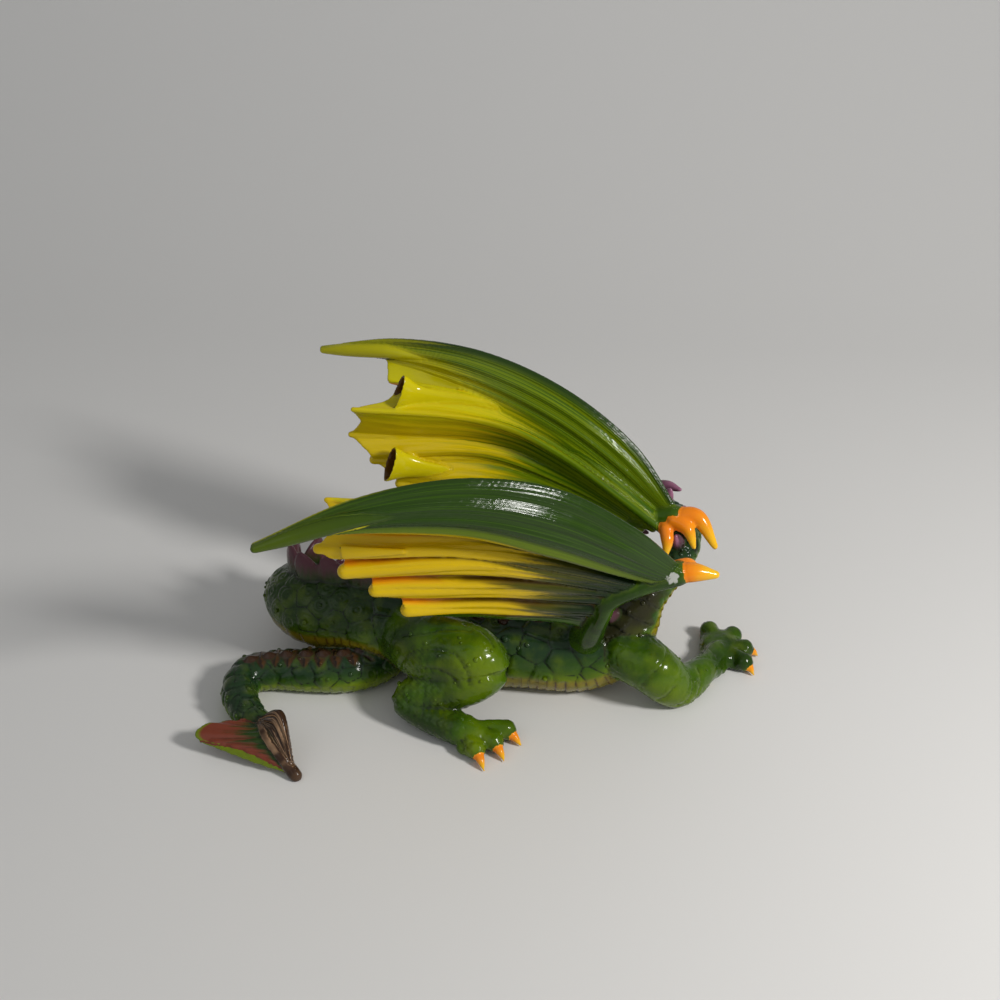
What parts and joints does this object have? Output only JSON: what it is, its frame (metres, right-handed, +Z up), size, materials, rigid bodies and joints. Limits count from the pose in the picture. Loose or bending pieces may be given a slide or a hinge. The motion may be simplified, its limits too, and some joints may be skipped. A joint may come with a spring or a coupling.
{
  "type": "dragon statue",
  "caption": "Cast and painted figurine of a sprawling winged dragon, with raised pleated wings, a looped tail with a spade tip and a head turned back past one wing.",
  "frame": {"origin": "on the flat of the belly, in the plane that the dragon lies on, midway between the wings", "axes": "+X towards the chest and front paws, +Y towards the dragon's left, +Z up"},
  "size_m": [0.3178, 0.2071, 0.1808],
  "materials": {
    "painted_resin": "hand-painted green, yellow, orange and purple under a clear gloss varnish"
  },
  "bodies": {
    "root": {"dragon": "painted_resin"}
  },
  "joints": []
}
